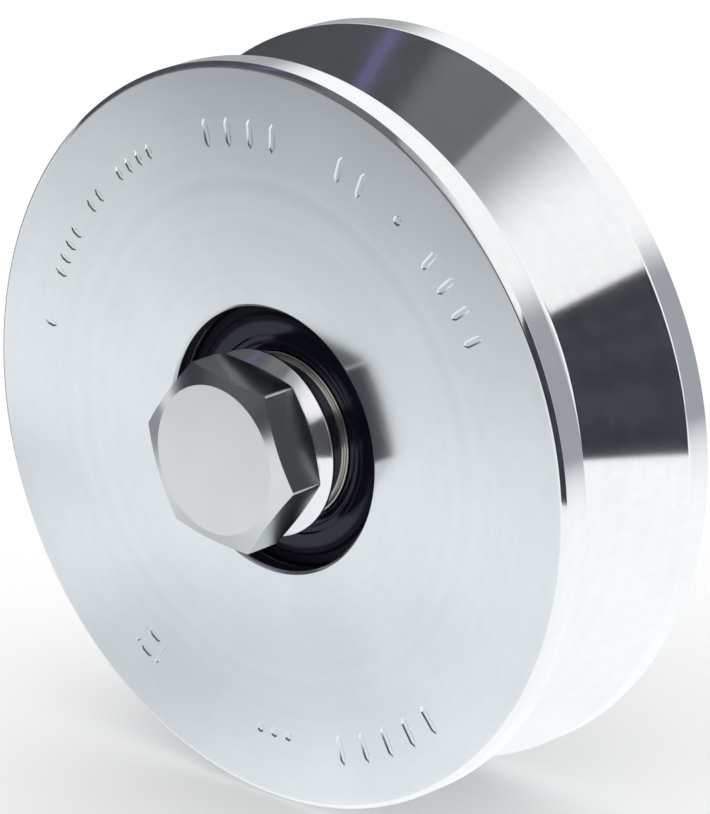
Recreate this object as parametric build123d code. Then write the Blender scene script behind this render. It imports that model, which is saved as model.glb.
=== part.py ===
from build123d import *
import math
import os

# V-groove wheel for a sliding gate, on two sealed ball bearings and a hex bolt.
# Millimetres. The wheel turns about Y, with its centre at the origin and +Z up.
# The front, where the bolt's hex head is, faces -Y. The bolt's free threaded end points along +Y.

# ---- driving dimensions: wheel ----
WHEEL_DIAMETER = 80.0
WHEEL_WIDTH = 23.0
LAND_WIDTH = 3.4  # plain rim on each side of the groove
GROOVE_DEPTH = 7.8
GROOVE_HALF_ANGLE = 45.0  # a 90 degree V, for an angle-iron track
GROOVE_ROOT_RADIUS = 0.6
RIM_CHAMFER = 0.5
RIM_EDGE_RADIUS = 0.35  # where each land meets the groove's flank
FRONT_LIP = 1.9  # thickness of the lip that holds the bearings in
FRONT_LIP_DIAMETER = 28.4
LIP_CHAMFER = 0.3
STAKED_LIP_DIAMETER = 30.4  # the rear edge, rolled over the bearing
STAKING_GROOVE_RADIUS = 17.9
STAKING_GROOVE_DEPTH = 0.8
STAKING_GROOVE_WIDTH = 1.8

# ---- driving dimensions: each bearing, 12 x 32 x 10, sealed both sides ----
BEARING_BORE = 12.0
BEARING_OUTSIDE = 32.0
BEARING_WIDTH = 10.0
BALL_COUNT = 7
BALL_DIAMETER = 5.953
PITCH_DIAMETER = 22.0
RACE_RADIUS = 3.1  # cross-section radius of both ball tracks
RACE_PLAY = 0.01  # radial gap between ball and track
INNER_SHOULDER = 18.4  # outside diameter of the inner ring
OUTER_SHOULDER = 25.7  # inside diameter of the outer ring
SEAL_SEAT_DIAMETER = 28.4
SEAL_SEAT_DEPTH = 1.2  # from the bearing's side face
SEAL_LAND_STEP = 0.2  # how far the seal lip's land lies below the inner ring's shoulder
SEAL_LAND_LENGTH = 1.0
RING_CHAMFER = 0.6

# ---- driving dimensions: cage and seals ----
CAGE_INNER_RADIUS = 9.95
CAGE_OUTER_RADIUS = 12.05
CAGE_SHEET = 0.6
POCKET_PLAY = 0.07
RIVET_RADIUS = 0.45
RIVET_HEAD_RADIUS = 0.8
RIVET_HEAD_HEIGHT = 0.4
SEAL_RECESS = 0.35  # seal face below the bearing's side face
SEAL_LIP_GAP = 0.05
SEAL_SLOPE = 0.3  # width of each slope on the seal's face
LIP_WIDTH = 0.6
LIP_RISE = 0.1  # height of the lip above the seal's face, and depth of the groove round it
LIP_GROOVE = 0.5
BEAD_WIDTH = 1.1
BEAD_STEP = 0.3  # how far the bead lies below the seal's face
BEAD_CHAMFER = 0.2
BEAD_PLAY = 0.02
RUBBER_SKIN = 0.35
INSERT_SHEET = 0.3
INSERT_INNER_RADIUS = 9.6
INSERT_PLAY = 0.01

# ---- driving dimensions: axle bolt, spacers, washer, nut ----
BOLT_DIAMETER = 11.96
BOLT_LENGTH = 55.0  # under the head
HEX_ACROSS_FLATS = 18.0
HEAD_HEIGHT = 6.0
HEX_CHAMFER_ANGLE = 22.0
HEX_FACE_DIAMETER = 16.0  # flat round end face of head and nut
HEAD_TURN = -8.0  # where the first corner stands, from +X towards +Z
NUT_TURN = 13.0
THREAD_PITCH_DIAMETER = 10.86  # the engaged thread is drawn at this diameter
THREAD_GAP = 0.02
BOLT_END_CHAMFER = 1.0
SPACER_FLANGE_DIAMETER = 20.0
SPACER_FLANGE = 1.6
SPACER_CHAMFER = 1.2  # round the flange's far side
SPACER_HUB_DIAMETER = 17.0
SPACER_HUB = 2.9
SPACER_BORE = 12.1
LOCK_WASHER_OUTSIDE = 21.1
LOCK_WASHER_BORE = 12.2
LOCK_WASHER_THICKNESS = 2.5
LOCK_WASHER_SLIT = 0.8
LOCK_WASHER_SLIT_ANGLE = 20.0
NUT_HEIGHT = 6.0
NUT_COUNTERSINK_RADIUS = 6.4  # at both faces, wider than the thread

# ---- working allowances ----
CUT_PAST = 1.0  # how far a cutting shape runs past what it cuts
NEAR = 0.01  # how close counts as being at a place

# ---- sizes and places along the axle, worked out from the sizes above ----
FRONT = -WHEEL_WIDTH / 2
REAR = WHEEL_WIDTH / 2
FRONT_BEARING_START = FRONT + FRONT_LIP
REAR_BEARING_START = FRONT_BEARING_START + BEARING_WIDTH
BEARINGS_END = REAR_BEARING_START + BEARING_WIDTH
HEAD_SEAT = FRONT_BEARING_START - SPACER_HUB - SPACER_FLANGE
REAR_SPACER_END = BEARINGS_END + SPACER_HUB + SPACER_FLANGE
HEX_ACROSS_CORNERS = HEX_ACROSS_FLATS * 2 / math.sqrt(3)
NUT_START = REAR_SPACER_END + LOCK_WASHER_THICKNESS
NUT_END = NUT_START + NUT_HEIGHT
BOLT_END = HEAD_SEAT + BOLT_LENGTH

PARTS = {}


def turned(outline):
    """Revolves a closed outline of (radius, y) points about the axle."""
    with BuildSketch(Plane.XY) as sketch:
        with BuildLine():
            Polyline(*outline, close=True)
        make_face()
    return revolve(sketch.sketch, Axis.Y)


def ring(inner_radius, outer_radius, start, end):
    """A plain ring about the axle between two places along it."""
    return turned([(inner_radius, start), (outer_radius, start), (outer_radius, end), (inner_radius, end)])


def around(count, radius, y, first=0.0):
    """Places evenly spaced on a circle about the axle."""
    angles = [math.radians(first + 360 * i / count) for i in range(count)]
    return [Pos(radius * math.cos(a), y, radius * math.sin(a)) for a in angles]


def hex_bar(start, end, turn):
    """A hexagonal bar about the axle, its first corner turned from +X towards +Z."""
    hexagon = Plane.XZ * RegularPolygon(HEX_ACROSS_CORNERS / 2, 6)
    bar = extrude(hexagon, end - start)  # towards -Y
    return Pos(0, end, 0) * (Rot(Y=-turn) * bar)


def chamfered_hex(start, end, turn):
    """A hexagonal bar with its corners turned away at both ends, leaving a round face at each."""
    face = HEX_FACE_DIAMETER / 2
    outer = HEX_ACROSS_CORNERS / 2 + CUT_PAST
    rise = (outer - face) * math.tan(math.radians(HEX_CHAMFER_ANGLE))
    outline = [(0, start), (face, start), (outer, start + rise), (outer, end - rise), (face, end), (0, end)]
    return hex_bar(start, end, turn) & turned(outline)


# ---- wheel ----


def wheel_body():
    """The turned steel wheel: V groove, front lip, bearing bore and staked rear lip."""
    rim = WHEEL_DIAMETER / 2
    root = rim - GROOVE_DEPTH
    flank = GROOVE_DEPTH * math.tan(math.radians(GROOVE_HALF_ANGLE))
    bore = BEARING_OUTSIDE / 2
    lip = FRONT_LIP_DIAMETER / 2
    staked = STAKED_LIP_DIAMETER / 2
    groove_in = STAKING_GROOVE_RADIUS - STAKING_GROOVE_WIDTH / 2
    groove_out = STAKING_GROOVE_RADIUS + STAKING_GROOVE_WIDTH / 2
    outline = [
        (lip, FRONT + LIP_CHAMFER),
        (lip + LIP_CHAMFER, FRONT),
        (rim - RIM_CHAMFER, FRONT),
        (rim, FRONT + RIM_CHAMFER),
        (rim, FRONT + LAND_WIDTH),
        (root, FRONT + LAND_WIDTH + flank),
        (root, REAR - LAND_WIDTH - flank),
        (rim, REAR - LAND_WIDTH),
        (rim, REAR - RIM_CHAMFER),
        (rim - RIM_CHAMFER, REAR),
        (groove_out, REAR),
        (STAKING_GROOVE_RADIUS, REAR - STAKING_GROOVE_DEPTH),
        (groove_in, REAR - LIP_CHAMFER),
        (staked, REAR - LIP_CHAMFER),
        (staked, BEARINGS_END),
        (bore, BEARINGS_END),
        (bore, FRONT_BEARING_START),
        (lip, FRONT_BEARING_START),
    ]
    with BuildSketch(Plane.XY) as sketch:
        with BuildLine():
            Polyline(*outline, close=True)
        make_face()
        corners = sketch.vertices()
        fillet([v for v in corners if abs(v.X - root) < NEAR], GROOVE_ROOT_RADIUS)
        corners = sketch.vertices()
        land_ends = (FRONT + LAND_WIDTH, REAR - LAND_WIDTH)
        fillet([v for v in corners if min(abs(v.Y - y) for y in land_ends) < NEAR], RIM_EDGE_RADIUS)
    return revolve(sketch.sketch, Axis.Y)


# ---- bearings ----


def track(radius_at_bottom, centre, outward):
    """The ring-shaped ball track to cut from a bearing ring."""
    side = 1 if outward else -1
    return revolve(Pos(radius_at_bottom + side * RACE_RADIUS, centre) * Circle(RACE_RADIUS), Axis.Y)


def outer_ring(centre):
    """The bearing's outer ring, with its ball track and a seat for each seal."""
    half, outside = BEARING_WIDTH / 2, BEARING_OUTSIDE / 2
    shoulder, seat = OUTER_SHOULDER / 2, SEAL_SEAT_DIAMETER / 2
    seat_depth = half - SEAL_SEAT_DEPTH
    outline = []
    for s in (-1, 1):
        side = [
            (shoulder, centre + s * seat_depth),
            (seat, centre + s * seat_depth),
            (seat, centre + s * half),
            (outside - RING_CHAMFER, centre + s * half),
            (outside, centre + s * (half - RING_CHAMFER)),
        ]
        outline += side if s < 0 else side[::-1]
    bottom = (PITCH_DIAMETER + BALL_DIAMETER) / 2 + RACE_PLAY
    return turned(outline) - track(bottom, centre, outward=False)


def inner_ring(centre):
    """The bearing's inner ring, with its ball track and a land for each seal lip."""
    half, bore = BEARING_WIDTH / 2, BEARING_BORE / 2
    shoulder = INNER_SHOULDER / 2
    seal_land = shoulder - SEAL_LAND_STEP
    land_depth = half - SEAL_LAND_LENGTH
    outline = []
    for s in (-1, 1):
        side = [
            (bore, centre + s * (half - RING_CHAMFER / 2)),
            (bore + RING_CHAMFER / 2, centre + s * half),
            (seal_land - RING_CHAMFER / 2, centre + s * half),
            (seal_land, centre + s * (half - RING_CHAMFER / 2)),
            (seal_land, centre + s * land_depth),
            (shoulder, centre + s * land_depth),
        ]
        outline += side if s < 0 else side[::-1]
    bottom = (PITCH_DIAMETER - BALL_DIAMETER) / 2 - RACE_PLAY
    return turned(outline) - track(bottom, centre, outward=True)


def balls(centre, first):
    """The ball set, one solid a ball."""
    places = around(BALL_COUNT, PITCH_DIAMETER / 2, centre, first)
    return Compound([place * Sphere(BALL_DIAMETER / 2) for place in places])


def pocket_ball(radius, side):
    """A ball at the top of the +X spoke, its poles along the spoke and its seam on the side not domed."""
    return Pos(PITCH_DIAMETER / 2, 0, 0) * (Rot(X=-90 * side) * (Rot(Y=90) * Sphere(radius)))


def cage_half(centre, first, side):
    """One pressed half of the ribbon cage: flat between the balls, domed over each ball."""
    pocket = BALL_DIAMETER / 2 + POCKET_PLAY
    dome = pocket + CAGE_SHEET
    flat = ring(CAGE_INNER_RADIUS, CAGE_OUTER_RADIUS, *sorted((0, side * CAGE_SHEET)))
    band = ring(CAGE_INNER_RADIUS, CAGE_OUTER_RADIUS, *sorted((0, side * (dome + CUT_PAST))))
    cap = (pocket_ball(dome, side) & band) - pocket_ball(pocket, side)
    turns = [Rot(Y=-(first + 360 * i / BALL_COUNT)) for i in range(BALL_COUNT)]
    half = flat - [turn * pocket_ball(pocket, side) for turn in turns]
    half = half + [turn * cap for turn in turns]
    rivet_places = around(BALL_COUNT, PITCH_DIAMETER / 2, 0, first + 180 / BALL_COUNT)
    rivet_hole = Rot(X=90) * Cylinder(RIVET_RADIUS, 2 * (CAGE_SHEET + CUT_PAST))
    half = half - [place * rivet_hole for place in rivet_places]
    return Pos(0, centre, 0) * half


def cage_rivets(centre, first):
    """The rivets that hold the two cage halves together, midway between the balls."""
    rivet = Rot(X=90) * Cylinder(RIVET_RADIUS, 2 * CAGE_SHEET)
    dome_radius = (RIVET_HEAD_RADIUS**2 + RIVET_HEAD_HEIGHT**2) / (2 * RIVET_HEAD_HEIGHT)
    for side in (-1, 1):
        ball = Pos(0, side * (CAGE_SHEET + RIVET_HEAD_HEIGHT - dome_radius), 0) * Sphere(dome_radius)
        head_zone = Pos(0, side * (CAGE_SHEET + RIVET_HEAD_HEIGHT), 0) * (
            Rot(X=90) * Cylinder(2 * RIVET_HEAD_RADIUS, 2 * RIVET_HEAD_HEIGHT)
        )
        rivet = rivet + (ball & head_zone)
    places = around(BALL_COUNT, PITCH_DIAMETER / 2, centre, first + 180 / BALL_COUNT)
    return Compound([place * rivet for place in places])


def seal_stations(centre, side):
    """Places of the seal's layers along the axle, from the inside of the bearing outwards."""
    face = BEARING_WIDTH / 2 - SEAL_RECESS
    rubber = face - RUBBER_SKIN
    return [centre + side * depth for depth in (rubber - INSERT_SHEET, rubber, face)]


def seal_rubber(centre, side):
    """The moulded rubber of one seal: a bead in the outer ring's seat, a thin face and a rounded lip."""
    back, mid, face = seal_stations(centre, side)
    lip = INNER_SHOULDER / 2 - SEAL_LAND_STEP + SEAL_LIP_GAP
    lip_end = lip + LIP_WIDTH
    groove_end = lip_end + SEAL_SLOPE + LIP_GROOVE
    bead = SEAL_SEAT_DIAMETER / 2 - BEAD_PLAY
    bead_inner = bead - BEAD_WIDTH
    bead_face = face - side * BEAD_STEP
    outline = [
        (lip, mid),
        (lip + LIP_RISE, face + side * LIP_RISE),
        (lip_end, face + side * LIP_RISE),
        (lip_end + SEAL_SLOPE, face - side * LIP_RISE),
        (groove_end, face - side * LIP_RISE),
        (groove_end + SEAL_SLOPE, face),
        (bead_inner - SEAL_SLOPE, face),
        (bead_inner, bead_face),
        (bead - BEAD_CHAMFER, bead_face),
        (bead, bead_face - side * BEAD_CHAMFER),
        (bead, back),
        (bead_inner + BEAD_CHAMFER, back),
        (bead_inner + BEAD_CHAMFER, mid),
    ]
    return turned(outline)


def seal_insert(centre, side):
    """The steel washer that stiffens one seal, bonded to the inside of its rubber."""
    back, mid, _ = seal_stations(centre, side)
    outer = SEAL_SEAT_DIAMETER / 2 - BEAD_PLAY - BEAD_WIDTH + BEAD_CHAMFER - INSERT_PLAY
    return ring(INSERT_INNER_RADIUS, outer, *sorted((back, mid)))


def bearing(name, start, first):
    """Adds every piece of one bearing to PARTS. first turns the ball set about the axle."""
    centre = start + BEARING_WIDTH / 2
    PARTS[f"{name}_outer_ring"] = outer_ring(centre)
    PARTS[f"{name}_inner_ring"] = inner_ring(centre)
    PARTS[f"{name}_balls"] = balls(centre, first)
    PARTS[f"{name}_cage_front"] = cage_half(centre, first, -1)
    PARTS[f"{name}_cage_rear"] = cage_half(centre, first, 1)
    PARTS[f"{name}_cage_rivets"] = cage_rivets(centre, first)
    for side, place in ((-1, "front"), (1, "rear")):
        PARTS[f"{name}_{place}_seal"] = seal_rubber(centre, side)
        PARTS[f"{name}_{place}_seal_insert"] = seal_insert(centre, side)


# ---- axle ----


def axle_bolt():
    """The hex bolt that is the axle. Its thread is drawn plain, and at pitch diameter inside the nut."""
    shank, engaged = BOLT_DIAMETER / 2, THREAD_PITCH_DIAMETER / 2
    outline = [
        (0, HEAD_SEAT),
        (shank, HEAD_SEAT),
        (shank, NUT_START),
        (engaged, NUT_START),
        (engaged, NUT_END),
        (shank, NUT_END),
        (shank, BOLT_END - BOLT_END_CHAMFER),
        (shank - BOLT_END_CHAMFER, BOLT_END),
        (0, BOLT_END),
    ]
    return chamfered_hex(HEAD_SEAT - HEAD_HEIGHT, HEAD_SEAT, HEAD_TURN) + turned(outline)


def spacer(bearing_face, side):
    """A spacer from a bearing's inner ring to the bolt head or lock washer, with a flange at its far end."""
    bore, hub, flange = SPACER_BORE / 2, SPACER_HUB_DIAMETER / 2, SPACER_FLANGE_DIAMETER / 2
    hub_end = bearing_face + side * SPACER_HUB
    end = hub_end + side * SPACER_FLANGE
    outline = [
        (bore, bearing_face),
        (hub, bearing_face),
        (hub, hub_end),
        (flange, hub_end),
        (flange, end - side * SPACER_CHAMFER),
        (flange - SPACER_CHAMFER, end),
        (bore, end),
    ]
    return turned(outline)


def lock_washer():
    """A split spring washer, squeezed flat by the nut, with its slanted gap at the top."""
    washer = ring(LOCK_WASHER_BORE / 2, LOCK_WASHER_OUTSIDE / 2, REAR_SPACER_END, NUT_START)
    middle = (REAR_SPACER_END + NUT_START) / 2
    slit = Box(LOCK_WASHER_SLIT, LOCK_WASHER_THICKNESS + 2 * CUT_PAST, LOCK_WASHER_OUTSIDE)
    slit = Pos(0, middle, LOCK_WASHER_OUTSIDE / 2) * (Rot(Z=LOCK_WASHER_SLIT_ANGLE) * slit)
    return washer - slit


def clamp_nut():
    """The thin nut that clamps the spacers and inner rings against the bolt's head."""
    bore, mouth = THREAD_PITCH_DIAMETER / 2 + THREAD_GAP, NUT_COUNTERSINK_RADIUS
    sink = mouth - bore
    threaded_hole = [
        (0, NUT_START),
        (mouth, NUT_START),
        (bore, NUT_START + sink),
        (bore, NUT_END - sink),
        (mouth, NUT_END),
        (0, NUT_END),
    ]
    return chamfered_hex(NUT_START, NUT_END, NUT_TURN) - turned(threaded_hole)


PARTS["wheel_body"] = wheel_body()
bearing("front_bearing", FRONT_BEARING_START, first=90.0)
bearing("rear_bearing", REAR_BEARING_START, first=90.0 + 180 / BALL_COUNT)
PARTS["axle_bolt"] = axle_bolt()
PARTS["front_spacer"] = spacer(FRONT_BEARING_START, -1)
PARTS["rear_spacer"] = spacer(BEARINGS_END, 1)
PARTS["lock_washer"] = lock_washer()
PARTS["clamp_nut"] = clamp_nut()

os.makedirs("parts", exist_ok=True)
for name, shape in PARTS.items():
    export_step(shape, f"parts/{name}.step")
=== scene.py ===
"""The looks of a V-groove gate wheel on its hex bolt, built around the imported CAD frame.

Sizes are in millimetres unless a comment says metres, and angles are in degrees. Outlines are (radius, y)
about the wheel's axle, which is the Y axis. Angles about the axle run from +X towards +Z.
"""

import math

import bmesh
import bpy
from mathutils import Matrix, Vector


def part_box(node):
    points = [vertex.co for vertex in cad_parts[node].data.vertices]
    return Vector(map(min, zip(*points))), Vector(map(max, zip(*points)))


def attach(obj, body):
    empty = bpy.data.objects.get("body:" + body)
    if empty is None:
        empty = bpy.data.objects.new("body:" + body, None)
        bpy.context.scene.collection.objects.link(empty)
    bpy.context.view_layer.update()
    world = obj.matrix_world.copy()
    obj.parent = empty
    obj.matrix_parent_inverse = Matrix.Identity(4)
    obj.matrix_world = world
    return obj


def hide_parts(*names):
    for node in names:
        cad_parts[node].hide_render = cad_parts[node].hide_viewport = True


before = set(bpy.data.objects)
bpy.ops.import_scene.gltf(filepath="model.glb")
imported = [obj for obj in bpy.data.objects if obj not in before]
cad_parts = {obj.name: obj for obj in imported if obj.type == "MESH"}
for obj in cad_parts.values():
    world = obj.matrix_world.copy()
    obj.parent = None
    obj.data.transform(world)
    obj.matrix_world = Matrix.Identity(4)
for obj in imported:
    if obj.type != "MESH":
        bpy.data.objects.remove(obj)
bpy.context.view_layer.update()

MM = 0.001


def extent(node):
    """A node's largest radius about the axle, and where it starts and ends along it, in millimetres."""
    low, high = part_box(node)
    return max(high.x, high.z) / MM, low.y / MM, high.y / MM


# ---- sizes read from the frame ----
RIM, FRONT, REAR = extent("wheel_body")
RING_OUTSIDE, BEARING_START, BEARING_MIDDLE = extent("front_bearing_outer_ring")
BEARINGS_END = extent("rear_bearing_outer_ring")[2]
INNER_SHOULDER = extent("front_bearing_inner_ring")[0]
SEAL_OUTSIDE = extent("front_bearing_front_seal")[0]
FLANGE, FRONT_SPACER_START, FRONT_SPACER_END = extent("front_spacer")
REAR_SPACER_START, REAR_SPACER_END = extent("rear_spacer")[1:]
LOCK_OUTSIDE, LOCK_START, LOCK_END = extent("lock_washer")
NUT_START, NUT_END = extent("clamp_nut")[1:]
HEAD_FACE, BOLT_END = extent("axle_bolt")[1:]
FLOOR_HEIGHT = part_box("wheel_body")[0].z / MM

# ---- how meshes are made ----
# Points that lie closer together than this are joined.
SAME_POINT = 0.0001
# Steps once round a turned piece, and round one corner of its outline.
ROUND_STEPS = 288
CORNER_STEPS = 6
# Faces that meet at a larger angle than this are shaded with a real edge between them.
SHARP_ANGLE = 18.0


# ---- outlines ----


def arc(centre_radius, centre_y, size, start, end, steps):
    """Points of an arc in the (radius, y) plane, between two angles in degrees."""
    angles = [math.radians(start + (end - start) * step / steps) for step in range(steps + 1)]
    return [(centre_radius + size * math.cos(a), centre_y + size * math.sin(a)) for a in angles]


def rounded(corners):
    """A closed outline's points, each corner given as (radius, y, rounding)."""
    points = []
    for index, (radius, y, rounding) in enumerate(corners):
        if not rounding:
            points.append((radius, y))
            continue
        corner = Vector((radius, y))
        back = (Vector(corners[index - 1][:2]) - corner).normalized()
        ahead = (Vector(corners[(index + 1) % len(corners)][:2]) - corner).normalized()
        half = back.angle(ahead) / 2
        centre = corner + (back + ahead).normalized() * (rounding / math.sin(half))
        start = corner + back * (rounding / math.tan(half)) - centre
        end = corner + ahead * (rounding / math.tan(half)) - centre
        first = math.degrees(math.atan2(start.y, start.x))
        sweep = (math.degrees(math.atan2(end.y, end.x)) - first + 180) % 360 - 180
        points += arc(centre.x, centre.y, rounding, first, first + sweep, CORNER_STEPS)
    return points


def mirrored(corners, middle):
    """The same outline turned end for end about a place along the axle."""
    return [(radius, 2 * middle - y, *rest) for radius, y, *rest in corners]


def replace_point(outline, point, points):
    """An outline with one of its points replaced by several."""
    index = outline.index(point)
    return outline[:index] + points + outline[index + 1 :]


# ---- meshes ----


def finished(name, mesh, body, material, replaced):
    """Turns a bmesh in millimetres into a piece that rides on a body and stands for a CAD node."""
    bmesh.ops.scale(mesh, verts=mesh.verts, vec=(MM, MM, MM))
    data = bpy.data.meshes.new(name)
    mesh.to_mesh(data)
    mesh.free()
    smooth(data)
    data.materials.append(material)
    piece = bpy.data.objects.new(name, data)
    bpy.context.scene.collection.objects.link(piece)
    keep_flats_flat(piece)
    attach(piece, body)
    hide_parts(replaced)
    return piece


def smooth(data):
    """Smooth shading, with real edges kept sharp."""
    data.shade_smooth()
    data.set_sharp_from_angle(angle=math.radians(SHARP_ANGLE))


def keep_flats_flat(piece):
    """Lets large faces decide the shading where they meet a rounded corner."""
    weighting = piece.modifiers.new("flat_faces", "WEIGHTED_NORMAL")
    weighting.keep_sharp = True


def clean(mesh):
    """Joins points that lie together, drops faces with no area, and turns every face outwards."""
    bmesh.ops.remove_doubles(mesh, verts=mesh.verts, dist=SAME_POINT)
    bmesh.ops.dissolve_degenerate(mesh, edges=mesh.edges, dist=SAME_POINT)
    bmesh.ops.recalc_face_normals(mesh, faces=mesh.faces)
    return mesh


def at(radius, y, angle):
    """The place at a radius, along the axle, and at an angle in degrees about it."""
    turn = math.radians(angle)
    return Vector((radius * math.cos(turn), y, radius * math.sin(turn)))


def skin(mesh, columns, closed):
    """Fills the strips between each column of points and the next."""
    count = len(columns[0])
    for left, right in zip(columns, columns[1:]):
        for strip in range(count if closed else count - 1):
            after = (strip + 1) % count
            mesh.faces.new((left[strip], left[after], right[after], right[strip]))


def swept(rows, angles, closed=True):
    """A bmesh swept once about the axle. Each row gives (radius, y) at an angle in degrees."""
    mesh = bmesh.new()
    columns = [[mesh.verts.new(at(*row(angle), angle)) for row in rows] for angle in angles]
    skin(mesh, columns, closed)
    return clean(mesh)


def steady(outline):
    """Rows for the points of an outline that is the same all the way round."""
    return [lambda angle, point=point: point for point in outline]


def whole_turn(steps):
    """Evenly spaced angles once round, the first repeated at the end."""
    return [360 * step / steps for step in range(steps + 1)]


def turned(name, outline, body, material, replaced):
    """A turned piece from a closed outline of (radius, y) points."""
    mesh = swept(steady(outline), whole_turn(ROUND_STEPS))
    return finished(name, mesh, body, material, replaced)


# ---- hexagons ----

HEX_ACROSS_FLATS = 18.0
HEX_FACE = 8.0
HEX_FACE_BORDER = 0.25
HEX_CHAMFER = 22.0
HEX_CORNER_ROUNDING = 0.45
CORNER_OFFSETS = (-1.3, -0.9, -0.45, 0.0, 0.45, 0.9, 1.3)
FLAT_STEPS = 20


def hex_radius(angle):
    """The radius of a hexagon with rounded corners, its first corner at 0 degrees."""
    apothem = HEX_ACROSS_FLATS / 2
    off_corner = math.radians((angle + 30) % 60 - 30)
    corner_centre = (apothem - HEX_CORNER_ROUNDING) / math.cos(math.radians(30))
    tangent = math.atan2(
        HEX_CORNER_ROUNDING * math.sin(math.radians(30)),
        corner_centre + HEX_CORNER_ROUNDING * math.cos(math.radians(30)),
    )
    if abs(off_corner) < tangent:
        across = corner_centre * math.sin(off_corner)
        return corner_centre * math.cos(off_corner) + math.sqrt(HEX_CORNER_ROUNDING**2 - across**2)
    return apothem / math.cos(math.radians(30) - abs(off_corner))


def hex_angles(first):
    """Angles once round a hexagon, closer together at its corners."""
    corner_end = CORNER_OFFSETS[-1]
    along_flat = [corner_end + (60 - 2 * corner_end) * step / FLAT_STEPS for step in range(1, FLAT_STEPS)]
    offsets = [*CORNER_OFFSETS, *along_flat]
    angles = [first + 60 * side + offset for side in range(6) for offset in offsets]
    return angles + [first + 360 + CORNER_OFFSETS[0]]


def hex_end(turn, face, inward):
    """Rows of a hexagon's chamfered end, from its flat face out to its edge. inward is +1 towards +Y."""

    def edge(angle):
        radius = hex_radius(angle - turn)
        return radius, face + inward * (radius - HEX_FACE) * math.tan(math.radians(HEX_CHAMFER))

    return steady([(HEX_FACE - HEX_FACE_BORDER, face), (HEX_FACE, face)]) + [edge]


# ---- threads ----

THREAD_PITCH = 1.75
THREAD_CREST = 5.94
THREAD_ROOT = 5.0
# Shares of the pitch, counted from the middle of a crest: where its flank starts, and where it ends.
CREST_EDGE = 1 / 16
FLANK_FOOT = 3 / 8
# Places along one pitch where a row of points follows the helix, closest on the crest and at its edges.
THREAD_PHASES = (-0.0625, 0.0, 0.0625, 0.14, 0.22, 0.3, 0.375, 0.46, 0.54, 0.625, 0.7, 0.78, 0.86)


def thread_radius(angle, y, outward=0.0):
    """The radius of a right-hand 60 degree thread at a place on it."""
    phase = abs((y / THREAD_PITCH + angle / 360 + 0.5) % 1 - 0.5)
    flank = (phase - CREST_EDGE) / (FLANK_FOOT - CREST_EDGE)
    return THREAD_CREST + outward - (THREAD_CREST - THREAD_ROOT) * min(max(flank, 0.0), 1.0)


def thread_rows(start, end, radius_at):
    """Rows that follow a thread's helix between two places, so that its crests and roots stay crisp."""
    turns = math.ceil((end - start) / THREAD_PITCH) + 2
    first = math.floor(start / THREAD_PITCH)
    rows = []
    for turn in range(turns):
        for phase in THREAD_PHASES:

            def row(angle, place=first + turn + phase):
                y = min(max((place - angle / 360) * THREAD_PITCH, start), end)
                return radius_at(angle, y), y

            rows.append(row)
    return rows


# ---- shader helpers ----

# Turning marks change with the place along the axle, and this many times as fast with the radius.
RING_SPREAD = 1.7


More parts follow.
